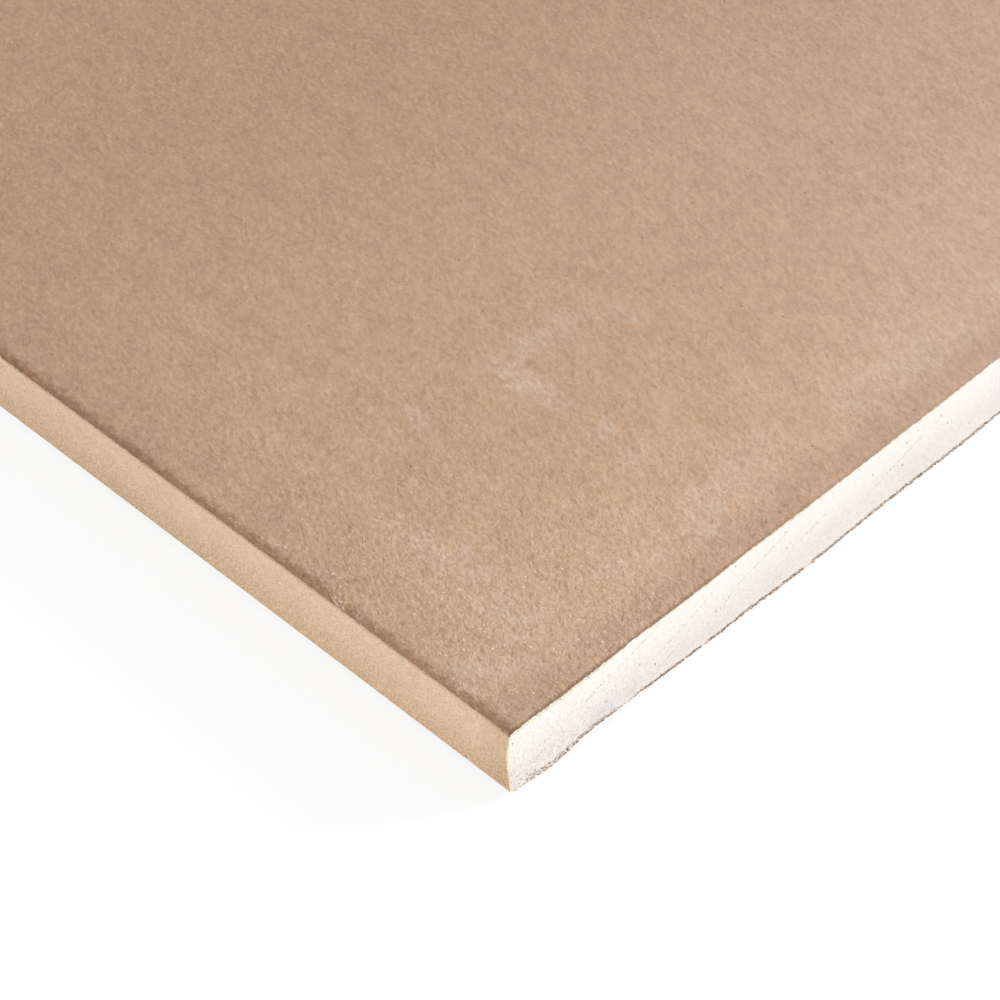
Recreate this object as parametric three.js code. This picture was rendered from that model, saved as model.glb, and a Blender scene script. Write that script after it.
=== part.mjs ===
// Gypsum wallboard, one full sheet of 2400 x 1200 x 12.5 mm with two tapered, paper-bound long edges.
//
// The board is made on a continuous line. Wet gypsum is poured on a wide face paper. Both margins of the
// paper are creased, folded up round the edges and lapped over onto the back. The narrower back paper is then
// laid on top and glued to the laps. The hardened board is cut off square, so its long edges are wrapped in
// paper and its short ends show the bare core between the two papers.
//
// The sheet lies face down, as boards are stored: +X runs along the paper-bound edges, +Y across the sheet
// and +Z up towards the back paper. The origin is on the floor under the middle of the sheet. Millimetres.
import * as THREE from "three";

// Sheet
const boardLength = 2400;
const boardWidth = 1200;
const boardThickness = 12.5;

// Papers
const facePaperThickness = 0.35;
const backPaperThickness = 0.3;
const lapWidth = 18; // how far the folded face paper reaches over the back from the crease

// Tapered margin on the face side, where two sheets are taped together
const taperWidth = 50; // from the edge of the sheet to the full thickness
const taperDepth = 1.3;
const tapeLandWidth = 12; // level strip beside the edge, the bed for the joint tape

// Paper-bound edge
const creaseInset = 0.2; // the crease lies this far in from the widest line of the edge
const creaseDrop = 0.55; // and this far below the back of the sheet
const bulgeDrop = 3.4; // from the crease down to the widest line
const heelInset = 0.4; // the edge has drawn in again by this much where the rounded heel starts
const heelRise = 0.8; // height of the rounded heel above the tape land
const heelWidth = 1; // width of the rounded heel

// Edge of the back paper
const backPaperMargin = 0.3; // bare face paper between the crease and the back paper
const shoulderWidth = 1.8; // the back rolls down towards the crease over this width

const curveSteps = 8; // straight facets in each curve of the cross-section

// Colours
const gypsumWhite = 0xf4efe8;
const facePaperTan = 0xd9bd9d;
const backPaperBrown = 0xc4a486;

// --- Outlines of one edge, as insets from its widest line and heights above the floor ---------------------

const lapHeight = boardThickness - backPaperThickness;
const lapInset = creaseInset + lapWidth;
const creaseHeight = boardThickness - creaseDrop;
const backPaperInset = creaseInset + backPaperMargin;

// Top of the lap, under the back paper: level, then rolled down along a parabola to the back paper's edge.
function lapOutline() {
  const shoulderInset = creaseInset + shoulderWidth;
  const rolledPart = 1 - backPaperMargin / shoulderWidth;
  const backPaperEdgeHeight = lapHeight - (lapHeight - creaseHeight) * rolledPart ** 2;
  const lap = new THREE.Path();
  lap.moveTo(lapInset, lapHeight);
  lap.lineTo(shoulderInset, lapHeight);
  lap.quadraticCurveTo((shoulderInset + backPaperInset) / 2, lapHeight, backPaperInset, backPaperEdgeHeight);
  return lap.getPoints(curveSteps);
}

// From the crease down the bulged edge, round the heel, and along the tape land and the taper.
function edgeOutline() {
  const widestHeight = creaseHeight - bulgeDrop;
  const heelHeight = taperDepth + heelRise;
  const heelSlope = (2 * heelInset) / (widestHeight - heelHeight);
  const easing = (taperWidth - tapeLandWidth) / 3;
  const edge = new THREE.Path();
  edge.moveTo(creaseInset, creaseHeight);
  edge.quadraticCurveTo(0, creaseHeight - bulgeDrop / 3, 0, widestHeight);
  edge.quadraticCurveTo(0, (widestHeight + heelHeight) / 2, heelInset, heelHeight);
  edge.quadraticCurveTo(heelInset + heelRise * heelSlope, taperDepth, heelInset + heelWidth, taperDepth);
  edge.lineTo(tapeLandWidth, taperDepth);
  edge.bezierCurveTo(tapeLandWidth + easing, taperDepth, taperWidth - easing, 0, taperWidth, 0);
  return edge.getPoints(curveSteps);
}

// --- Outlines of the whole cross-section, all run the same way round --------------------------------------

// An edge outline placed at the -Y side of the sheet.
const atMinusY = (outline) => outline.map((p) => new THREE.Vector2(p.x - boardWidth / 2, p.y));

// Its mirror image at the +Y side, run backwards so that it carries on from the -Y side.
const atPlusY = (outline) => outline.map((p) => new THREE.Vector2(boardWidth / 2 - p.x, p.y)).reverse();

// The open outline that lies at a given distance to the left of another one, with its corners mitred.
function besideOutline(outline, distance) {
  const normals = outline.slice(1).map((p, i) => {
    const along = p.clone().sub(outline[i]);
    return new THREE.Vector2(-along.y, along.x).normalize();
  });
  return outline.map((p, i) => {
    const before = normals[Math.max(i - 1, 0)];
    const after = normals[Math.min(i, normals.length - 1)];
    const mitre = before.clone().add(after);
    return p.clone().addScaledVector(mitre, distance / mitre.dot(before));
  });
}

const lap = lapOutline();
const edge = [...lap, ...edgeOutline()];

// Face paper: from the lap at -Y down round the edge, under the whole sheet and up to the lap at +Y.
const facePaperOutside = [...atMinusY(edge), ...atPlusY(edge)];
const facePaperInside = besideOutline(facePaperOutside, facePaperThickness);

// Back paper: it is bedded on both laps and, between them, on the core.
const backPaperUnderside = [...atPlusY(lap), ...atMinusY(lap)];
const backPaperTop = besideOutline(backPaperUnderside, -backPaperThickness);

// Core: it fills the face paper and comes up flush with the laps between their cut edges.
const coreOutline = [...facePaperInside, facePaperOutside.at(-1), facePaperOutside[0]];

// --- Pieces -----------------------------------------------------------------------------------------------

// Turns a cross-section drawn in X and Y, and pushed along Z, to lie in the sheet's Y and Z along its X.
const alongSheet = new THREE.Matrix4().makeBasis(
  new THREE.Vector3(0, 1, 0),
  new THREE.Vector3(0, 0, 1),
  new THREE.Vector3(1, 0, 0),
);

// One layer of the board: its closed cross-section pushed along the whole length of the sheet.
function layer(name, outline, color, roughness) {
  const geometry = new THREE.ExtrudeGeometry(new THREE.Shape(outline), {
    depth: boardLength,
    bevelEnabled: false,
  });
  geometry.applyMatrix4(alongSheet);
  geometry.translate(-boardLength / 2, 0, 0);
  const mesh = new THREE.Mesh(geometry, new THREE.MeshStandardMaterial({ color, roughness, metalness: 0 }));
  mesh.name = name;
  return mesh;
}

const board = new THREE.Group();
board.add(
  layer("gypsum_core", coreOutline, gypsumWhite, 0.95),
  layer("face_paper", [...facePaperOutside, ...facePaperInside.reverse()], facePaperTan, 0.8),
  layer("back_paper", [...backPaperUnderside, ...backPaperTop.reverse()], backPaperBrown, 0.9),
);

export default board;
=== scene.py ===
# %% [markdown]
# # A sheet of wallboard, paper and gypsum
#
# The sheet is a plain thing that is easy to get wrong: a flat brown surface is only convincing when its
# paper has fibres, its edges have thickness and its sawn end shows what the board is made of. The solid
# model gives three pieces in their true places: a gypsum core, a face paper folded round the long edges and
# a back paper laid on top. This lesson dresses them in the same frame, where +X runs along the sheet, +Y
# across it and +Z up, and all lengths are metres.

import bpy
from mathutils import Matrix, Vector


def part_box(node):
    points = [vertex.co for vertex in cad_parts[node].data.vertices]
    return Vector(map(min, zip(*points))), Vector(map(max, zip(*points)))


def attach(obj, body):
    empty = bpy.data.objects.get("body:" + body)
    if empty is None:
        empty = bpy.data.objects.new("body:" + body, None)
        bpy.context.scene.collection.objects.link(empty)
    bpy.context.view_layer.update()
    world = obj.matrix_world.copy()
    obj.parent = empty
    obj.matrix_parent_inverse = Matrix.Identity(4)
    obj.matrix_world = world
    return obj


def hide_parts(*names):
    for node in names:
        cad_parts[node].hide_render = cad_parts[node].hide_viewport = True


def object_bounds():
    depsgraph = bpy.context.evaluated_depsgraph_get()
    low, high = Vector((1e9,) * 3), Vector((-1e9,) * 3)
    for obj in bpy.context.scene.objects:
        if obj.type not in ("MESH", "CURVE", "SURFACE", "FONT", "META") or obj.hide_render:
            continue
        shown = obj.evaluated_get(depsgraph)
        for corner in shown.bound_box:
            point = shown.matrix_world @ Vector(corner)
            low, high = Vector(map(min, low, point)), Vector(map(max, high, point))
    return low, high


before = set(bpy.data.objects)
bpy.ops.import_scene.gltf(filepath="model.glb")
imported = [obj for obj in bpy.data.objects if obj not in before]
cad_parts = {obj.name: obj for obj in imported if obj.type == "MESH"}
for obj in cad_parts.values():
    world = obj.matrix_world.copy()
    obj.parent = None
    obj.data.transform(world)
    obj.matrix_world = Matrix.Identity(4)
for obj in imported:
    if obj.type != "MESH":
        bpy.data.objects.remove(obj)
print("solid pieces:", ", ".join(sorted(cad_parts)))

# %% [markdown]
# ## Measure before making
#
# Sizes are read from the loaded model rather than typed again, so that the dressed sheet always fits the
# solid one.

# %% Measure the sheet
import math
import random

import bmesh
import bpy
from mathutils import Matrix, Vector, noise
from mathutils.bvhtree import BVHTree

MM = 0.001
scene = bpy.context.scene
solid_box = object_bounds()
half_length, half_width, thickness = solid_box[1]
print(f"sheet {half_length * 2 / MM:.0f} x {half_width * 2 / MM:.0f} x {thickness / MM:.1f} mm")

# %% [markdown]
# ## Look at the near corner
#
# A board is judged at its corner, where both edges and the back meet. The camera stands a little over a
# third of a metre from it, looks down at about 44 degrees, and uses a long lens so that the edges hardly
# converge. Heading and dip are the angles that can be read off a tripod.

# %% Stand the camera
def turned(degrees, axis):
    return Matrix.Rotation(math.radians(degrees), 4, axis)


def stand_camera(place, heading, dip, lean, lens):
    """Heading is counted from +X towards +Y, dip downwards from level, lean about the line of sight."""
    data = bpy.data.cameras.new("camera")
    data.lens = lens
    data.sensor_width = 36
    data.sensor_fit = "HORIZONTAL"
    data.clip_start = 0.01
    data.clip_end = 100
    camera = bpy.data.objects.new("camera", data)
    scene.collection.objects.link(camera)
    aim = turned(heading - 90, "Z") @ turned(90 - dip, "X")
    camera.matrix_world = Matrix.Translation(place) @ aim @ turned(lean, "Z")
    return camera


near_corner = Vector((half_length, -half_width, 0))
stands_off = Vector((158.4, -168.8, 278.6)) * MM
scene.camera = stand_camera(near_corner + stands_off, heading=133.54, dip=44.4, lean=0.99, lens=105.8)
print("camera at", [round(v, 3) for v in scene.camera.matrix_world.translation])

# %% [markdown]
# ## Arithmetic on sockets
#
# A finish is a formula: so much of this noise, less where that mask is. Wiring such a formula node by node
# is slow to read, so a small class wraps a socket and lets Python's own signs add the Math nodes. Every
# other node comes from one method, which sets the node's settings first and then its sockets.

# %% Wrap a socket
class Wire:
    """An output socket that can be added, subtracted and multiplied like a number."""

    def __init__(self, shop, socket):
        self.shop = shop
        self.socket = socket

    def output(self, name):
        """Another output of the same node."""
        return Wire(self.shop, self.socket.node.outputs[name])

    def __add__(self, other):
        return self.shop.math("ADD", self, other)

    def __radd__(self, other):
        return self.shop.math("ADD", other, self)

    def __sub__(self, other):
        return self.shop.math("SUBTRACT", self, other)

    def __rsub__(self, other):
        return self.shop.math("SUBTRACT", other, self)

    def __mul__(self, other):
        return self.shop.math("MULTIPLY", self, other)

    def __rmul__(self, other):
        return self.shop.math("MULTIPLY", other, self)

    def __abs__(self):
        return self.shop.math("ABSOLUTE", self)


# %% Fit out a workshop of nodes
class Workshop:
    """Adds nodes to one tree and hands back their outputs as wires."""

    def __init__(self, tree):
        self.tree = tree
        tree.nodes.clear()

    def node(self, kind, settings=None, sockets=None, out=0):
        made = self.tree.nodes.new(kind)
        for name, value in (settings or {}).items():
            setattr(made, name, value)
        for name, value in (sockets or {}).items():
            if isinstance(value, Wire):
                self.tree.links.new(value.socket, made.inputs[name])
            else:
                made.inputs[name].default_value = value
        return Wire(self, made.outputs[out]) if made.outputs else made

    def math(self, operation, a, b=0.0):
        return self.node("ShaderNodeMath", {"operation": operation}, {0: a, 1: b})

    def smaller(self, a, b):
        return self.math("MINIMUM", a, b)

    def larger(self, a, b):
        return self.math("MAXIMUM", a, b)

    def rise(self, value, start, end):
        """0 up to start, 1 from end on, and a smooth step between; start may be the larger."""
        sockets = {"Value": value, "From Min": start, "From Max": end}
        return self.node("ShaderNodeMapRange", {"interpolation_type": "SMOOTHSTEP"}, sockets)

    def blend(self, a, b, share, how="MIX"):
        """The colour a, with this share of the colour b mixed in; a share below 0 mixes in none."""
        settings = {"data_type": "RGBA", "blend_type": how}
        sockets = {0: share, 6: a, 7: b}
        return self.node("ShaderNodeMix", settings, sockets, out=2)


def screen_to_light(value):
    """One channel of a screen colour, 0 to 255, by the standard screen curve."""
    return value / 255 / 12.92 if value <= 10 else ((value / 255 + 0.055) / 1.055) ** 2.4


def paint(red, green, blue):
    """A colour as it is picked from a screen, turned into the linear light a shader needs."""
    return (screen_to_light(red), screen_to_light(green), screen_to_light(blue), 1)


# %% [markdown]
# ## Steady light
#
# Paper shows its fibres only when some of the light comes from one side. More than half of the light here
# is an even white sky, which lights every surface alike. A soft, low key light from the right adds the small
# shadows between the fibres, and a weaker one from the left keeps the wrapped edge from going dull. Together
# they come to about one on every face, so a colour comes out about as it is written. What the camera and
# mirrors see of the sky is plain white, and it is set apart from the light that the sky gives.

# %% Hang the lights
def sun(name, azimuth, elevation, level, softness):
    """A distant light from the side azimuth. Level 1 turns a white card that faces it white."""
    data = bpy.data.lights.new(name, "SUN")
    data.energy = level * math.pi
    data.angle = math.radians(softness)
    lamp = bpy.data.objects.new(name, data)
    scene.collection.objects.link(lamp)
    lamp.rotation_euler = (math.radians(90 - elevation), 0, math.radians(azimuth + 90))


def looked_at(shop):
    """1 for what the camera sees, straight or in a mirror or glass, and 0 for what only gives light."""
    straight = shop.node("ShaderNodeLightPath", out="Is Camera Ray")
    mirrored = shop.larger(straight.output("Is Glossy Ray"), straight.output("Is Transmission Ray"))
    return shop.larger(straight, mirrored)


sun("key_light", azimuth=60, elevation=24, level=0.9, softness=16)
sun("fill_light", azimuth=-92, elevation=12, level=0.46, softness=40)
sky_level = 0.62

scene.view_settings.view_transform = "Standard"
scene.world = bpy.data.worlds.new("studio")
scene.world.use_nodes = True
studio = Workshop(scene.world.node_tree)
sky_strength = sky_level + (1 - sky_level) * looked_at(studio)
sky = studio.node("ShaderNodeBackground", sockets={"Color": (1, 1, 1, 1), "Strength": sky_strength})
studio.node("ShaderNodeOutputWorld", sockets={"Surface": sky})

# %% [markdown]
# ## A floor that stays white
#
# The sheet lies on a pale floor. A real white floor under this light would come out a little grey, and
# turning up the lamps to whiten it would burn out the gypsum. So for the eye most of the floor is a plain
# white glow, with enough of the real surface left in it to show the soft shadow under the sheet. For the
# light that bounces up onto the edges it is an ordinary pale floor.

# %% Lay the floor
FLOOR_REACH = 30  # metres from the middle to each side
LIGHT_GREY = (0.5, 0.5, 0.5, 1)  # the floor as the light finds it
NEAR_WHITE = (0.9, 0.9, 0.9, 1)  # the floor as the eye finds it
GLOW_LEVEL = 1.03
GLOW_SHARE = 0.84  # of what the eye sees of the floor

floor_mesh = bmesh.new()
bmesh.ops.create_grid(floor_mesh, x_segments=1, y_segments=1, size=FLOOR_REACH)
floor_data = bpy.data.meshes.new("floor")
floor_mesh.to_mesh(floor_data)
floor_mesh.free()
floor = bpy.data.objects.new("floor", floor_data)
scene.collection.objects.link(floor)

floor_material = bpy.data.materials.new("pale_floor")
floor_material.use_nodes = True
shop = Workshop(floor_material.node_tree)
seen = looked_at(shop)
pale = shop.blend(LIGHT_GREY, NEAR_WHITE, seen)
surface = shop.node("ShaderNodeBsdfDiffuse", sockets={"Color": pale})
glow = shop.node("ShaderNodeEmission", sockets={"Color": (1, 1, 1, 1), "Strength": GLOW_LEVEL})
seen_floor = shop.node("ShaderNodeMixShader", sockets={0: GLOW_SHARE * seen, 1: surface, 2: glow})
shop.node("ShaderNodeOutputMaterial", sockets={"Surface": seen_floor})
floor_data.materials.append(floor_material)
print("floor laid,", 2 * FLOOR_REACH, "m square")

# %% [markdown]
# ## Start from the solid's own outline
#
# The section of a tapered edge is a subtle curve, and drawing it a second time would only bring errors.
# Each piece therefore starts as a copy of its solid. The solid comes as loose triangles, so its corners are
# joined and its flat faces made whole before any more work is done on it.

# %% Copy a solid
SAME_PLACE = 0.001 * MM  # points closer than this are one point
SAME_PLANE = math.radians(0.05)  # faces that meet at less than this are one face


def copy_of(node):
    mesh = bmesh.new()
    mesh.from_mesh(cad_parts[node].data)
    bmesh.ops.remove_doubles(mesh, verts=mesh.verts, dist=SAME_PLACE)
    bmesh.ops.dissolve_limit(mesh, angle_limit=SAME_PLANE, verts=mesh.verts, edges=mesh.edges)
    print(node, "as", len(mesh.faces), "whole faces")
    return mesh


# %% [markdown]
# ## More points where the eye goes
#
# A sawn edge wanders by tenths of a millimetre, which needs points about that close together, but only
# there: the rest of the sheet is dead flat. So cross-cuts crowd in towards both ends, and rows along the
# sheet are close together in the strip beside the near edge and wide apart elsewhere.

# %% Cut across and along
ON_PLANE = 1e-7  # points this close to a cutting plane count as lying on it
END_CUTS = [0.12, 0.3, 0.6, 1.0, 1.6, 2.4, 6, 40]  # distances from each end, in millimetres
FINE_STRIP = 112 * MM  # width of the strip beside the near edge that is cut finely


def slice_through(mesh, place, facing):
    """Adds points wherever a plane passes through the mesh; facing is the way the plane faces."""
    everything = mesh.verts[:] + mesh.edges[:] + mesh.faces[:]
    bmesh.ops.bisect_plane(mesh, geom=everything, dist=ON_PLANE, plane_co=place, plane_no=facing)


def cut_across(mesh):
    for from_end in END_CUTS:
        for side in (-1, 1):
            slice_through(mesh, Vector((side * (half_length - from_end * MM), 0, 0)), (1, 0, 0))


def cut_along(mesh, fine, coarse):
    """Splits every edge that runs across the sheet into steps of the given lengths."""
    place = Vector((0, FINE_STRIP - half_width, 0))
    slice_through(mesh, place, (0, 1, 0))
    by_cuts = {}
    for edge in mesh.edges:
        start, end = (v.co for v in edge.verts)
        step = fine if (start.y + end.y) / 2 < place.y else coarse
        # The thousandth keeps an edge of exactly so many steps from being cut once more.
        cuts = math.ceil(abs(start.y - end.y) / step - 0.001) - 1
        if cuts > 0:
            by_cuts.setdefault(cuts, []).append(edge)
    for cuts, edges in by_cuts.items():
        bmesh.ops.subdivide_edges(mesh, edges=edges, cuts=cuts, use_grid_fill=True)


# %% [markdown]
# ## What the saw leaves
#
# The ends of a board are cut on the line by a rotary knife, and again on site with a saw or a snapped
# blade, so a cut end is never a true plane. It bows gently along its length, with small ripples on top that
# are strongest in the torn papers. The papers follow the core, because the same stroke cut all three, so one
# rule moves the points of every piece and they stay flush. Close to the cut the back is also dragged down a
# little.

# %% Saw the ends
ENDS_APART = 40  # keeps the two ends from getting the same waves
TORN_DEPTH = 1.5 * MM  # how far below the outside the tearing of the papers is felt
WANDER_REACH = 2.3  # the cut's unevenness dies out this far from the end, in millimetres
DRAG = 0.22  # how far the back is pulled down at the cut, in millimetres
DRAG_REACH = 1.2  # and how far from the end that is felt


def ripple(along, size, height, seed):
    """A smooth random wave about size millimetres long, at a place given in millimetres."""
    return height * MM * noise.noise(along / size + Vector((seed, seed, seed)))


def wander(side, y, z):
    """How far a sawn end stands out of its plane: torn at the papers, smoother in the gypsum."""
    along = Vector((ENDS_APART * side, y / MM, z / MM))
    torn = max(0.2, 1 - min(z, thickness - z) / TORN_DEPTH)
    bow = ripple(along, size=17, height=0.2, seed=1)
    teeth = ripple(along, size=3.6, height=0.1, seed=2) + ripple(along, size=0.7, height=0.11, seed=3)
    return bow + torn * teeth


def saw_ends(mesh):
    for point in mesh.verts:
        from_end = (half_length - abs(point.co.x)) / MM
        if from_end > WANDER_REACH:
            continue
        side = math.copysign(1, point.co.x)
        point.co.x += side * wander(side, point.co.y, point.co.z) * (1 - from_end / WANDER_REACH) ** 2
        drag = DRAG * MM * max(0, 1 - from_end / DRAG_REACH) ** 2
        point.co.z -= drag * (point.co.z / thickness) ** 3


# %% [markdown]
# ## A knocked corner
#
# A sheet is set down on its corners, and this one hangs there as if it had been set down hard. The paper
# held the gypsum together, so nothing broke off: the heel sags by up to a millimetre into the hollow of the
# taper, and the edge above it is pushed out a little. It fades out four centimetres along the sheet.

# %% Knock the corner
KNOCK_LENGTH = 40  # how far it is felt along the sheet, in millimetres
KNOCK_WIDTH = 25  # and across it
BULGE = 0.3  # how far the edge is pushed out


def hump(value, middle, spread):
    """1 in the middle, falling off smoothly to both sides."""
    return math.exp(-(((value - middle) / spread) ** 2))


def knock(place):
    """Where a place beside the near corner ends up."""
    from_end = (half_length - place.x) / MM
    from_edge = (place.y + half_width) / MM
    height = place.z / MM
    if from_end > KNOCK_LENGTH or from_edge > KNOCK_WIDTH:
        return place
    felt = (1 - max(0, from_end) / KNOCK_LENGTH) ** 2
    low = min(1, max(0, (8 - height) / 6))  # all of it below 2 mm, nothing above 8
    sag = low * hump(from_edge, middle=8, spread=4.6)
    bulge = hump(height, middle=8.5, spread=2.5) * max(0, 1 - from_edge / 12)
    return place + Vector((0, -BULGE * felt * bulge, -felt * sag)) * MM


def knock_corner(mesh):
    for point in mesh.verts:
        point.co = knock(point.co)


# %% [markdown]
# ## From a mesh to a piece
#
# A mesh becomes an object that is shaded smooth, except where two faces meet at a real corner. Each piece
# hangs from the root body, and the solid it stands for is hidden. Its place
# is in its points, so the object itself stays at the origin and patterns lie where they should.

# %% Finish a piece
SHARP_CORNER = math.radians(35)


def make_piece(mesh, name, node):
    """Turns a bmesh into an object and hides the solid node that it stands for, unless that is None."""
    data = bpy.data.meshes.new(name)
    mesh.to_mesh(data)
    mesh.free()
    data.polygons.foreach_set("use_smooth", [True] * len(data.polygons))
    data.set_sharp_from_angle(angle=SHARP_CORNER)
    piece = bpy.data.objects.new(name, data)
    scene.collection.objects.link(piece)
    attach(piece, "root")
    if node:
        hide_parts(node)
    heights = [corner[2] / MM for corner in piece.bound_box]
    print(name, len(data.polygons), "faces, z", round(min(heights), 3), "to", round(max(heights), 3))
    return piece


# %% [markdown]
# ## The wrapped face paper
#
# One sheet of paper forms the underside, both long edges and the laps on the back. Paper is a skin with a
# thickness, so the piece is made as one: only the outer skin of the solid is kept, it is cut into rows, and
# then it is given the paper's thickness inwards. The outer skin is the part that stands a full paper's
# thickness off the core, and a nearest-point search on the core finds it.

# %% Wrap the face paper
core_surface = BVHTree.FromBMesh(copy_of("gypsum_core"))
core_low, core_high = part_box("gypsum_core")
face_paper_thickness = core_low.z
back_paper_thickness = thickness - core_high.z
print("papers", round(face_paper_thickness / MM, 2), "and", round(back_paper_thickness / MM, 2), "mm")


def paper_from(node, paper_thickness, keeps):
    """A paper with points to spare, made from the faces of a solid that lie on its outer skin."""
    mesh = copy_of(node)
    hidden = [face for face in mesh.faces if not keeps(face)]
    bmesh.ops.delete(mesh, geom=hidden, context="FACES")
    cut_across(mesh)
    cut_along(mesh, fine=0.25 * MM, coarse=1.6 * MM)
    bmesh.ops.solidify(mesh, geom=mesh.faces[:], thickness=paper_thickness)
    bmesh.ops.recalc_face_normals(mesh, faces=mesh.faces)
    return mesh


def stands_off_core(face):
    gap = core_surface.find_nearest(face.calc_center_median())[3]
    return abs(face.normal.x) < 0.5 and gap > face_paper_thickness / 2


wrap = paper_from("face_paper", face_paper_thickness, stands_off_core)
saw_ends(wrap)
knock_corner(wrap)
face_paper = make_piece(wrap, "wrapped_face_paper", "face_paper")

# %% [markdown]
# ## The back paper
#
# The back paper is simpler. Its upper side faces up, apart from the last two millimetres where it rolls down
# to the crease, so a face belongs to the outer skin if it points more up than sideways.

# %% Lay the back paper
def faces_up(face):
    return face.normal.z > 0.5


lining = paper_from("back_paper", back_paper_thickness, faces_up)
saw_ends(lining)
knock_corner(lining)
back_paper = make_piece(lining, "laid_back_paper", "back_paper")

# %% [markdown]
# ## The gypsum core
#
# Only the two sawn ends of the core can be seen, and they are all texture, so they need an even net of
# faces. The walls of the solid are kept and its end caps thrown away. The walls are cut at the same places
# above and below, which leaves as many points along the top of each open end as along the bottom, and Grid
# Fill can then weave a net of clean quads across it. The small step up beside each lap is upright in the
# solid, and two points above one another would spoil the count, so it is made to lean a little.

# %% Open the ends of the core
HAIRS_BREADTH = 0.01 * MM
STEP_LEAN = 0.3 * MM
LAP_ZONE = 10 * MM  # the steps lie further in from the long edges than this
rim = half_width - 1.3 * MM  # beyond this line the wall turns down into the edge

core = copy_of("gypsum_core")
caps = [face for face in core.faces if abs(face.normal.x) > 0.5]
bmesh.ops.delete(core, geom=caps, context="FACES")
for point in core.verts:
    if abs(point.co.z - core_high.z) < SAME_PLACE and abs(point.co.y) < half_width - LAP_ZONE:
        point.co.y -= math.copysign(STEP_LEAN, point.co.y)
lines = {round(v.co.y / MM, 3) for v in core.verts if abs(v.co.y) < rim} | {rim / MM, -rim / MM}
for line in sorted(lines | {-y for y in lines}):
    slice_through(core, Vector((0, line * MM, 0)), (0, 1, 0))
cut_along(core, fine=0.3 * MM, coarse=1.8 * MM)
print("core walls", len(core.faces), "faces")

# %% Weave the sawn ends
def end_edges(mesh, side):
    return [e for e in mesh.edges if all(v.co.x * side > half_length - HAIRS_BREADTH for v in e.verts)]


for side in (-1, 1):
    border = end_edges(core, side)
    inside = [e for e in border if all(abs(v.co.y) < rim + HAIRS_BREADTH for v in e.verts)]
    above = sum(e.verts[0].co.z > thickness / 2 for e in inside)
    print("end", side, "has", above, "edges above and", len(inside) - above, "below")
    bmesh.ops.grid_fill(core, edges=inside)
cut_across(core)
bmesh.ops.recalc_face_normals(core, faces=core.faces)
print("open edges", sum(e.is_boundary for e in core.edges))
saw_ends(core)
knock_corner(core)
gypsum = make_piece(core, "sawn_core", "gypsum_core")

# %% [markdown]
# ## Torn fibres along the cut
#
# A saw cuts gypsum cleanly but tears paper, and leaves a fringe of fibres and crumbs along both papers. Each
# bit is a tapered five-sided sliver, flattened, turned at random and stuck into the face of the cut. A sliver
# has only sixteen triangles, so thousands of them are still a light mesh, and they stand closest together
# near the corner that is looked at.

# %% Make one sliver
sliver_mesh = bmesh.new()
bmesh.ops.create_cone(sliver_mesh, cap_ends=True, segments=5, radius1=0.5, radius2=0.15, depth=1)
sliver = bpy.data.meshes.new("sliver")
sliver_mesh.to_mesh(sliver)
sliver_mesh.free()
print("a sliver has", len(sliver.polygons), "faces")

# %% Tear the paper
LOOKED_AT = 160  # the near stretch of the near cut, in millimetres
CLOSE, WIDE_APART = (0.02, 0.16), (0.3, 1.4)  # steps from one sliver to the next, there and elsewhere
OFF_FLOOR = 0.2 * MM  # fibres lie on the floor and not in it


def underside(y):
    """The height of the face paper's lower side, which rises towards the long edges."""
    hit = core_surface.ray_cast(Vector((0, y, -thickness)), Vector((0, 0, 1)))[0]
    return max(hit.z - face_paper_thickness, OFF_FLOOR)


def topside(y):
    """The height of the back paper's lower side, which is the same all across."""
    return thickness - back_paper_thickness


def torn_fringe(name, height, spread, longest, bare):
    """Slivers on both cut ends, spread upwards from a height, with the long edges left bare."""
    mesh = bmesh.new()
    chance = random.Random(name)
    for side in (-1, 1):
        from_edge = bare
        while from_edge < 2 * half_width / MM - bare:
            from_edge += chance.uniform(*(CLOSE if side > 0 and from_edge < LOOKED_AT else WIDE_APART))
            y = from_edge * MM - half_width
            loose = 1.5 + 2 * max(0, 1 - from_edge / 25)  # the corner is handled most
            z = height(y) + chance.uniform(0.3, loose) * spread
            # Here z is in metres and hardly counts, so a gap in the fringe goes all the way up.
            if ripple(Vector((ENDS_APART * side, from_edge, z)), size=3.5, height=1, seed=5) < -0.3 * MM:
                continue
            length = longest * chance.uniform(0.35, 1)
            wide = length * chance.uniform(0.35, 0.65)
            x = side * (half_length + wander(side, y, z) + chance.uniform(0, 0.12) * MM)
            droop = turned(90 + chance.uniform(-50, 50), "X")
            swing = turned(chance.uniform(-35, 35), "Z")
            shape = Matrix.Diagonal((0.45 * wide, wide, length, 1))
            one = sliver.copy()
            one.transform(Matrix.Translation(knock(Vector((x, y, z)))) @ swing @ droop @ shape)
            mesh.from_mesh(one, face_normals=False, vertex_normals=False)
            bpy.data.meshes.remove(one)
    bmesh.ops.recalc_face_normals(mesh, faces=mesh.faces)
    return make_piece(mesh, name, None)


print("underside", [round(underside(y * MM - half_width) / MM, 2) for y in (2, 20, 50, 100)])
face_fringe = torn_fringe(
    "torn_face_paper", height=underside, spread=0.42 * MM, longest=0.38 * MM, bare=3.4
)
back_fringe = torn_fringe(
    "torn_back_paper", height=topside, spread=0.12 * MM, longest=0.26 * MM, bare=2
)

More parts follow.
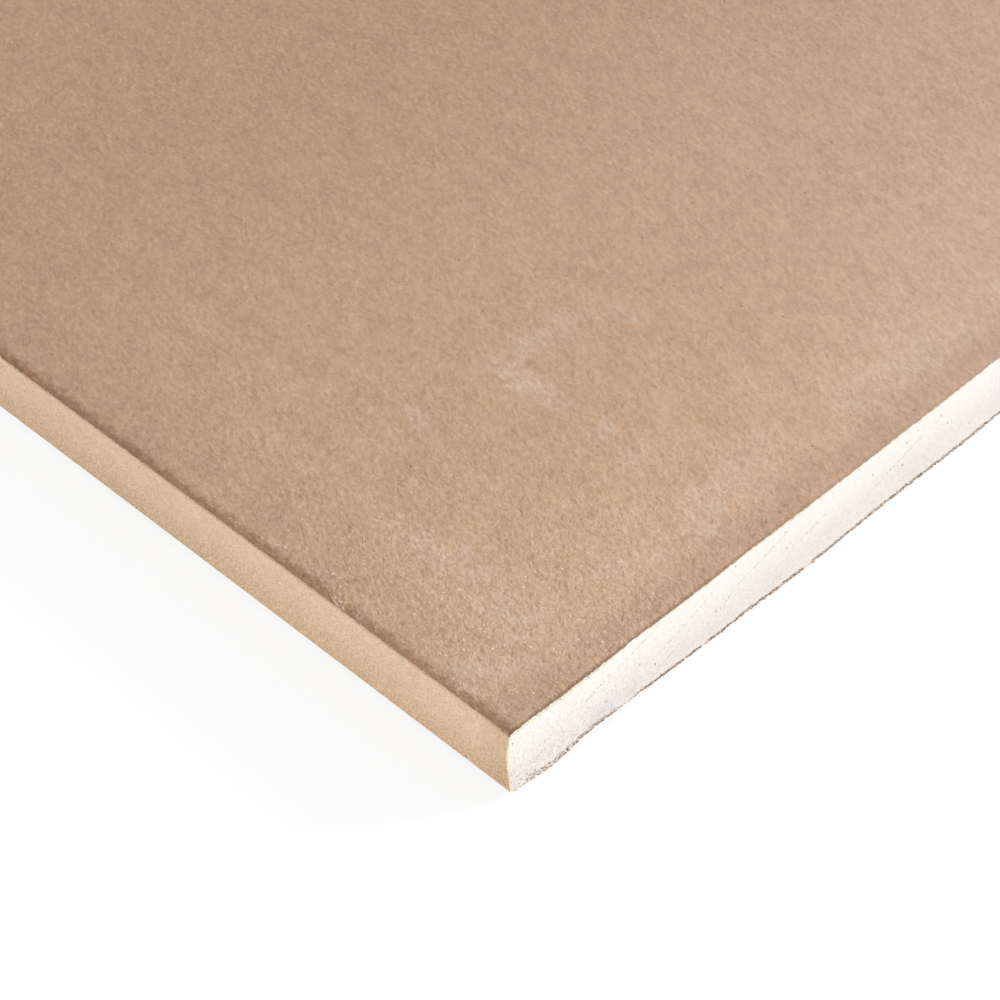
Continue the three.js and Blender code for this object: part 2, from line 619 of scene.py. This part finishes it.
# %% [markdown]
# ## Where a finish is on the sheet
#
# Every finish here is worked out from the place on the sheet, in millimetres, because paper and gypsum have
# a true scale: a fibre is a fraction of a millimetre wide however large the sheet is. Distances from the long
# edge and from the sawn end are what wear and dirt go by, so they are made once for every finish.
#
# Paper is a flat web that was bent round the edge, so its pattern is worked out as if it were laid flat
# again. Down the edge the height is taken off the distance across the sheet, and the fibres run round the
# corner unbroken.

# %% A finish and its rulers
SCATTER = (37.3, 17.1, 7.7)  # moves the pattern of each seed well away from the others


class Finish(Workshop):
    """A material for one piece, with the place on the sheet as wires in millimetres."""

    def __init__(self, name, flat_web):
        self.material = bpy.data.materials.new(name)
        self.material.use_nodes = True
        super().__init__(self.material.node_tree)
        self.corners = self.node("ShaderNodeTexCoord", out="Object")
        self.place = self.scaled(self.corners, 1 / MM)
        self.x = self.node("ShaderNodeSeparateXYZ", sockets={0: self.place})
        self.y = self.x.output("Y")
        self.z = self.x.output("Z")
        self.from_end = half_length / MM - abs(self.x)
        self.from_edge = half_width / MM - abs(self.y)
        self.corner_x = half_length / MM - self.x  # from the near corner along the sheet
        self.corner_y = self.y + half_width / MM  # and across it
        plan = {0: self.corner_x, 1: self.corner_y} if flat_web else {0: self.corner_y, 1: self.z}
        self.from_corner = self.node("ShaderNodeCombineXYZ", sockets=plan)
        facing = self.node("ShaderNodeSeparateXYZ", sockets={0: self.corners.output("Normal")})
        self.cut = self.rise(abs(facing), 0.5, 0.8)  # 1 where the saw went through, 0 on the skin
        self.dimensions = "2D" if flat_web else "3D"
        if flat_web:
            laid_flat = {0: self.x, 1: abs(self.y) - self.z}
            self.place = self.node("ShaderNodeCombineXYZ", sockets=laid_flat)

    def scaled(self, vector, share):
        vector = vector if isinstance(vector, Wire) else vector[:3]
        return self.node("ShaderNodeVectorMath", {"operation": "SCALE"}, {0: vector, "Scale": share})

    def ruled(self, length, width, turn, seed):
        """The place on a ruler whose units are a length and a width in millimetres, turned in degrees."""
        on_end = self.dimensions == "3D"  # on the sawn ends a length runs across the sheet
        sockets = {
            "Vector": self.place,
            "Location": [seed * step for step in SCATTER],
            "Rotation": (math.radians(turn), 0, 0) if on_end else (0, 0, math.radians(turn)),
            "Scale": (width, length, width) if on_end else (length, width, width),
        }
        return self.node("ShaderNodeMapping", {"vector_type": "TEXTURE"}, sockets)

    def clouds(self, length, width=None, turn=0, detail=1, seed=0):
        """Random blotches of a length and width in millimetres, 0 to 1 and mostly near 0.5."""
        where = self.ruled(length, width or length, turn, seed)
        sockets = {"Vector": where, "Scale": 1, "Detail": detail, "Roughness": 0.65}
        return self.node("ShaderNodeTexNoise", {"noise_dimensions": self.dimensions}, sockets, out=0)

    def cells(self, length, width, turn, seed):
        """The distance from the middle of the nearest random cell, and that cell's random number."""
        where = self.ruled(length, width, turn, seed)
        settings = {"voronoi_dimensions": self.dimensions}
        sockets = {"Vector": where, "Scale": 1}
        distance = self.node("ShaderNodeTexVoronoi", settings, sockets, out="Distance")
        return distance, self.node("ShaderNodeSeparateColor", sockets={0: distance.output("Color")})

    def fibres(self, length, width, turn, seed):
        """Short fibres that lie one way, each of its own strength: 0 between them, up to 1 on top."""
        distance, own = self.cells(length, width, turn, seed)
        return self.rise(distance, 0.68, 0.08) * (0.3 + 0.7 * own)

    def specks(self, spacing, radius, share, seed):
        """Small round specks, one in each random cell of this spacing for a share of the cells."""
        distance, own = self.cells(spacing, spacing, 0, seed)
        speck = self.rise(distance, radius / spacing, 0.4 * radius / spacing)
        return speck * self.rise(own, share, share - 0.01)

    def hairs(self, size, width, amount, seed):
        """Thin curly lines, along which a cloud passes its middle value. A second cloud cuts them up."""
        line = 1 - self.rise(abs(self.clouds(size, seed=seed) - 0.5), 0, width)
        return line * self.rise(self.clouds(size * 0.8, seed=seed + 0.5), 1 - amount, 1.04 - amount)

    def patch(self, x, y, length, width, turn, fray):
        """A soft oval round a place measured from the near corner, eaten into where fray is high."""
        oval = {
            "Vector": self.from_corner,
            "Location": (x, y, 0),
            "Rotation": (0, 0, math.radians(turn)),
            "Scale": (length / 2, width / 2, 1),
        }
        reach = self.node("ShaderNodeMapping", {"vector_type": "TEXTURE"}, oval)
        squared = {0: reach, 1: reach}
        reach = self.node("ShaderNodeVectorMath", {"operation": "DOT_PRODUCT"}, squared, out="Value")
        return self.rise(reach + fray, 1.1, 0.1)

    def bend(self, size, reach):
        """Shifts the place by up to about a reach, so that what is drawn later curves at that size."""
        where = {"Vector": self.ruled(size, size, 0, 3), "Scale": 1, "Detail": 0}
        settings = {"noise_dimensions": self.dimensions}
        push = self.node("ShaderNodeTexNoise", settings, where, out="Color")
        centred = {0: push, 1: (0.5, 0.5, 0.5)}
        push = self.node("ShaderNodeVectorMath", {"operation": "SUBTRACT"}, centred)
        shifted = {0: self.scaled(push, 2 * reach), 1: self.place}
        self.place = self.node("ShaderNodeVectorMath", {"operation": "ADD"}, shifted)

    def tinted(self, colour, tint, share):
        """The colour multiplied by a tint, for a share of 0 to 1."""
        return self.blend(colour, tint, share, "MULTIPLY")

    def finish(self, colour, roughness, height):
        """Closes the material: height is relief in millimetres, and neither paper nor gypsum shines much."""
        relief = self.node("ShaderNodeBump", sockets={"Height": height, "Distance": MM, "Strength": 1})
        sockets = {
            "Base Color": colour,
            "Roughness": roughness,
            "Normal": relief,
            "Specular IOR Level": 0.25,
        }
        surface = self.node("ShaderNodeBsdfPrincipled", sockets=sockets)
        self.node("ShaderNodeOutputMaterial", sockets={"Surface": surface})
        print(self.material.name, len(self.tree.nodes), "nodes")
        return self.material


# %% [markdown]
# ## The back paper's finish
#
# The back of a board is rough brown paper made from old boxes. Close up it is a felt of short fibres that
# lie mostly along the sheet, because that is the way the paper ran through its machine. The fibres show as
# pale and dark strands, and the grit and down between them give the surface its fine relief. On top there
# are a few pale curly hairs, dark specks of bark and print, and clouds where the pulp was thicker. The nap
# stands up most beside the corner, and in patches where it has been rubbed.

# %% Make the paper felt
back = Finish("rough_back_paper", flat_web=True)
back.bend(2.2, 0.22)
fine = back.larger(back.fibres(1.5, 0.42, 10, 1), back.fibres(1.1, 0.36, 48, 2))
fine = back.larger(fine, back.fibres(1.0, 0.36, -26, 3))
grit = back.clouds(0.8, 0.66, turn=28, detail=1.5, seed=15)
down = back.clouds(0.4, 0.35, turn=28, seed=19)
soft = back.clouds(2.4, 1.7, turn=28, seed=20)
pulp = back.clouds(7, 4.5, detail=2, seed=6)
rubbed = back.rise(back.clouds(16, 11, seed=7), 0.4, 0.62)
from_near = back.corner_x + back.corner_y  # from the near corner, along and across the sheet together
near = back.rise(from_near, 130, 10)
nap = 0.2 + 0.15 * rubbed + 0.45 * near
crisp = 0.3 + 0.7 * back.rise(from_near, 80, 12)
hairs = back.larger(back.hairs(1.7, 0.024, 0.47, 8), back.hairs(2.6, 0.018, 0.47, 9))
bark = back.specks(5, 0.27, 0.13, 10)
strands = back.clouds(1.5, 0.55, turn=34, seed=39) + back.clouds(1.3, 0.5, turn=-6, seed=40) - 1
strands = strands * (0.33 + 0.21 * near)  # above 0 where pale, below 0 where dark
print("felt laid,", len(back.tree.nodes), "nodes so far")

# %% [markdown]
# The paper is painted paler towards the sawn end, a painted gradient of light, and away from the long edge
# it is a touch greyer. Far from the corner broad streaks follow the run of the paper.

# %% Colour the felt
inland = back.from_end + 14 * (back.clouds(50, seed=11) - 0.5)
# Painted light: the paper is painted paler towards the sawn end.
painted_light_towards_end = 0.55 * back.rise(inland, 125, 40) + 0.45 * back.rise(inland, 45, 5)
far_side = back.rise(back.corner_y, 40, 150)
brown = back.blend(paint(196, 164, 136), paint(198, 167, 146), far_side)
brown = back.blend(paint(173, 140, 114), brown, painted_light_towards_end)
tone = (
    1
    + 0.08 * (grit - 0.5)
    + nap * crisp * 0.14 * (down - 0.5)
    + (0.19 - 0.08 * near) * (soft - 0.5)
    + 0.24 * (pulp - 0.5)
)
away = back.rise(from_near, 200, 500)
streaks = back.clouds(700, 45, detail=2, seed=29) + back.clouds(160, 110, detail=3, seed=30) - 1
brown = back.scaled(brown, tone + 0.16 * away * streaks)
brown = back.tinted(brown, paint(222, 212, 200), -1.5 * strands)
brown = back.blend(brown, paint(234, 206, 178), strands)
yellowed = back.clouds(3, 2.2, detail=3, seed=38) - 0.5
brown = back.tinted(brown, paint(255, 251, 240), 2.4 * yellowed)
# Painted shade: the hollows of the grit are tinted darker.
brown = back.tinted(brown, paint(235, 224, 214), nap * back.rise(grit, 0.5, 0.2))
# The tips of the fine fibres are painted pale, partly their own colour and partly a painted highlight.
brown = back.blend(brown, paint(232, 207, 180), 0.68 * nap * crisp * back.rise(fine, 0.74, 0.95))
clusters = back.rise(back.clouds(7, seed=27), 0.5, 0.64) * back.rise(from_near, 90, 15)
brown = back.blend(brown, paint(246, 222, 196), back.specks(1.1, 0.17, 0.2, 16) * clusters)
brown = back.blend(brown, paint(226, 203, 178), hairs * 0.42 * crisp)
brown = back.blend(brown, paint(118, 90, 68), bark * 0.5)
print("felt coloured,", len(back.tree.nodes), "nodes so far")

# %% [markdown]
# A darker, smoother band is painted beside the crease, and it is darkest right at the paper's edge. A
# narrower dark line is painted along the sawn end. A wider margin along both is painted a little darker.

# %% Stain its edges
wobble = 2.6 * (back.clouds(1.6, 1.1, detail=2, seed=12) - 0.5)
band = back.rise(back.from_edge + wobble, 2.3, 0.5) * (0.45 + 1.1 * grit)
dark_cut_line = back.rise(back.from_end + 0.6 * (back.clouds(0.9, detail=2, seed=13) - 0.5), 0.62, 0.1)
dark_cut_line_depth = 0.25 + 0.75 * back.rise(back.corner_y, 80, 10)
brown = back.tinted(brown, paint(212, 198, 186), band)
brown = back.scaled(brown, 1 + band * (0.7 * (down - 0.5) + 0.4 * (grit - 0.5)))
brown = back.tinted(brown, paint(203, 196, 190), dark_cut_line_depth * dark_cut_line)
brown = back.blend(brown, paint(186, 168, 158), 0.4 * dark_cut_line * far_side)
brown = back.tinted(brown, paint(241, 240, 243), back.rise(back.from_end, 8, 1))
brown = back.tinted(brown, paint(248, 248, 248), back.rise(back.from_edge, 14, 5))
print("edges stained,", len(back.tree.nodes), "nodes so far")

# %% [markdown]
# Gypsum dust clings to the nap. The corner of another sheet was slid over this one and left a pale smear
# with two arms, and sawing left a dusty strip a centimetre from the end. A small chip at the crease, with a
# fainter one beside it, shows the paper's pale inside.

# %% Dust it
fray = 2.2 * (back.clouds(3, 2, detail=3, seed=14) - 0.5)
smears = [  # from the end, from the edge, length, width, turn and strength
    (42, 46.8, 18, 5.4, 0, 0.16),
    (47.2, 54.5, 20, 7, 92, 0.1),
    (41.9, 67.2, 9, 5, 153, 0.1),
    (27, 16.2, 20, 6, 171, 0.1),
    (14, 15.6, 9, 6, 147, 0.1),
    (28, 47.8, 7, 4, 59, 0.12),
    (47.7, 31.6, 6, 4, 24, 0.1),
    (22.3, 46.4, 5, 3, 23, 0.12),
    (9, 45.2, 13, 8, 48, 0.12),
    (8.4, 88, 8, 18, 0, 0.12),
]
dust = 0
for *place, strength in smears:
    dust = back.larger(dust, strength * back.patch(*place, fray))
strip = back.rise(abs(back.from_end - 10 + 5 * fray), 8, 1)
strip = strip * back.rise(back.clouds(9, 14, detail=2, seed=17), 0.42, 0.62)
patchy = back.rise(back.clouds(2.6, 1.8, detail=3, seed=26), 0.36, 0.6)
dust = back.larger(dust, 0.1 * strip) * (0.3 + 0.8 * patchy) * (1 - band)
dust = dust * (1 + 4 * strands)
brown = back.blend(brown, paint(232, 223, 214), dust)

crumbs = 5 * (back.clouds(0.45, seed=28) - 0.5)
chip = back.patch(30.3, 0.9, 3.2, 1.1, 8, crumbs)
chips = back.larger(chip, 0.5 * back.patch(26.5, 0.9, 3, 0.9, 8, crumbs))
brown = back.blend(brown, paint(240, 224, 208), 0.45 * chips * back.rise(down, 0.4, 0.6))
chalked = back.rise(back.clouds(0.9, seed=18), 0.32, 0.48)
dusty_cut = back.blend(paint(238, 216, 186), paint(253, 247, 236), chalked)
brown = back.blend(brown, dusty_cut, back.cut)
print("dusted,", len(back.tree.nodes), "nodes so far")

# %% [markdown]
# Relief is what the low light picks out. A bump is worked out at three points for every one that is seen, so
# each layer in it costs three times what it costs in the colour, and only what a finger could feel goes in:
# the grit and down of the nap, the soft unevenness of the felt and the pulp's thickness. The darker band at
# the crease is smoother.

# %% Finish the back paper
relief = (nap * (0.27 * grit + 0.14 * crisp * down) + 0.17 * soft) * (1 - 0.25 * band) + 0.25 * pulp
back_paper.data.materials.append(back.finish(brown, 0.9, relief))

# %% [markdown]
# ## The face paper's finish
#
# The face paper is made for paint: several smooth plies, paler and closer than the back. It still has a fine
# grain, faint clouds and a few specks. Low on the edge it is painted a little darker, as painted shade
# towards the floor. Where the saw went through it, the inside of the paper shows: pale at the edge, chalky at
# the lap and brown under the sheet, where the brown is partly painted shade.

# %% Finish the face paper
face = Finish("smooth_face_paper", flat_web=True)
face.bend(1.5, 0.2)
grain = face.clouds(0.42, 0.36, turn=15, detail=2, seed=21)
mottle = face.clouds(3, detail=3, seed=23)
fleck = face.specks(1.5, 0.15, 0.2, 24)
low_on_edge = face.rise(face.z, 11, 0)
tan = face.scaled(paint(240, 207, 175), 1 + 0.24 * (mottle - 0.5))
# Painted shade: the paper is tinted darker towards the floor.
tan = face.tinted(tan, paint(244, 240, 233), low_on_edge)
tan = face.tinted(tan, paint(222, 216, 206), (1.8 + 3.7 * low_on_edge) * (0.52 - grain))
tan = face.blend(tan, paint(255, 234, 210), 1.8 * (grain - 0.5))
tan = face.tinted(tan, paint(242, 239, 236), face.rise(face.from_end, 6, 1))
tan = face.tinted(tan, paint(249, 248, 248), face.rise(face.from_end, 30, 90))
tan = face.blend(tan, paint(150, 116, 84), fleck * 0.5)
# Under the sheet the raw edge is painted brown, partly the paper's own colour and partly painted shade.
under = face.rise(face.z, 1.9, 1.2) * face.rise(face.from_edge, 0.8, 2)
raw_edge = face.blend(paint(250, 232, 200), paint(184, 152, 124), under)
lap = face.rise(face.z, 10.5, 11.5)
chalky = face.larger(0.75 * lap, face.rise(face.clouds(0.5, seed=25), 0.42, 0.56) * under)
raw_edge = face.blend(raw_edge, paint(250, 243, 232), chalky)
tan = face.blend(tan, raw_edge, face.cut)
face_paper.data.materials.append(face.finish(tan, 0.75, 0.25 * grain + 0.05 * mottle))

# %% [markdown]
# Torn fibres keep the colours of the pulp inside the paper. Under the sheet they run from dark brown to
# off-white, the darkest partly painted shadow between the fibres, and along the top they are whitened by the
# gypsum.

# %% Finish the torn fibres
def finish_torn(name, dark, middle, pale, seed):
    torn = Finish(name, flat_web=False)
    own = torn.clouds(0.22, seed=seed)
    colour = torn.blend(dark, middle, torn.rise(own, 0.42, 0.55))
    colour = torn.blend(colour, pale, torn.rise(own, 0.57, 0.68))
    return torn.finish(colour, 0.95, 0.05 * torn.clouds(0.12, seed=seed + 1))


# The darkest colour is partly painted shadow in the gaps of the fringe.
brown_and_shadowed = finish_torn(
    "brown_and_shadowed_fibres", paint(84, 62, 46), paint(184, 150, 118), paint(248, 236, 220), seed=41
)
dusted = finish_torn(
    "dusted_fibres", paint(206, 176, 146), paint(242, 222, 194), paint(252, 244, 230), seed=43
)
face_fringe.data.materials.append(brown_and_shadowed)
back_fringe.data.materials.append(dusted)

# %% [markdown]
# ## Gypsum
#
# Set gypsum is a mass of tiny needles full of air bubbles. Cut, it is chalky white with pinholes, which are
# most open low down and beside the corner, and the blade draws faint slanting lines in it. The pinholes are
# painted dark as the shade inside them, and the cut is painted a little greyer towards the floor as painted
# shade.

# %% Finish the gypsum
chalk = Finish("sawn_gypsum", flat_web=False)
crumb = chalk.clouds(0.36, detail=1.5, seed=31)
lumps = chalk.clouds(1.6, detail=2, seed=32)
lower = chalk.rise(chalk.z, 11.5, 2)
beside_edge = chalk.rise(chalk.corner_y, 40, 4)
coarse = 0.45 + 0.55 * beside_edge
holes = chalk.rise(chalk.clouds(5, 2.5, turn=20, seed=44), 0.4, 0.6)
foot = chalk.rise(chalk.corner_y, 7, 4) * chalk.rise(chalk.z, 4, 1.5)
pitted = 0.06 + beside_edge * holes * (0.15 + 0.3 * lower) + 0.6 * foot
pits = chalk.specks(0.7, 0.2, 0.55, 33) * pitted
pits = chalk.larger(pits, 0.8 * chalk.specks(1.9, 0.26, 0.08, 34))
grey = chalk.rise(chalk.clouds(7, 3.5, turn=-10, detail=2, seed=37), 0.48, 0.68)
# Painted shade: the gypsum is painted greyer towards the floor.
white = chalk.blend(paint(253, 248, 241), paint(241, 233, 226), lower)
white = chalk.scaled(white, chalk.smaller(1 + coarse * (0.4 + 0.95 * lower) * (crumb - 0.5), 1.03))
white = chalk.tinted(white, paint(246, 248, 250), grey * lower * (0.5 + 0.5 * beside_edge))
# Painted shade: the pinholes are painted dark, as the shade inside them.
white = chalk.blend(white, paint(128, 120, 112), pits * 0.8)
print("gypsum coloured,", len(chalk.tree.nodes), "nodes so far")

# %% [markdown]
# The saw's teeth dragged a few crumbs along and scored the cut. Each long scratch is listed: how far
# it is from the long edge, how high, how long and how steep, in millimetres and degrees. They waver a little
# and are broken up, as a scratch in chalk is.

# %% Score the cut
SCRATCH_WIDTH = 0.4
SCRATCHES = [  # from the long edge, height, length and steepness
    (47.4, 8.8, 12, 18),
    (39.4, 5.4, 7, 31),
    (33.2, 8.1, 14, 21),
    (23.4, 10.3, 9, 18),
    (57, 7.3, 7, 14),
    (16, 8.4, 7, 22),
    (29, 3.6, 6, 24),
    (76, 7, 16, 17),
    (112, 6, 18, 15),
]
wavering = chalk.z + 0.6 * (chalk.clouds(4, seed=35) - 0.5)
chalk.from_corner = chalk.node("ShaderNodeCombineXYZ", sockets={0: chalk.corner_y, 1: wavering})
broken = 7 * (chalk.clouds(0.4, seed=36) - 0.43)
scored = 0
for y, z, length, turn in SCRATCHES:
    scored = chalk.larger(chalk.patch(y, z, length, SCRATCH_WIDTH, turn, broken), scored)
white = chalk.tinted(white, paint(216, 204, 195), scored * 0.7)
chalk_relief = 0.04 * coarse * crumb + 0.015 * lumps - 0.12 * pits - 0.03 * scored
gypsum.data.materials.append(chalk.finish(white, 0.95, chalk_relief))
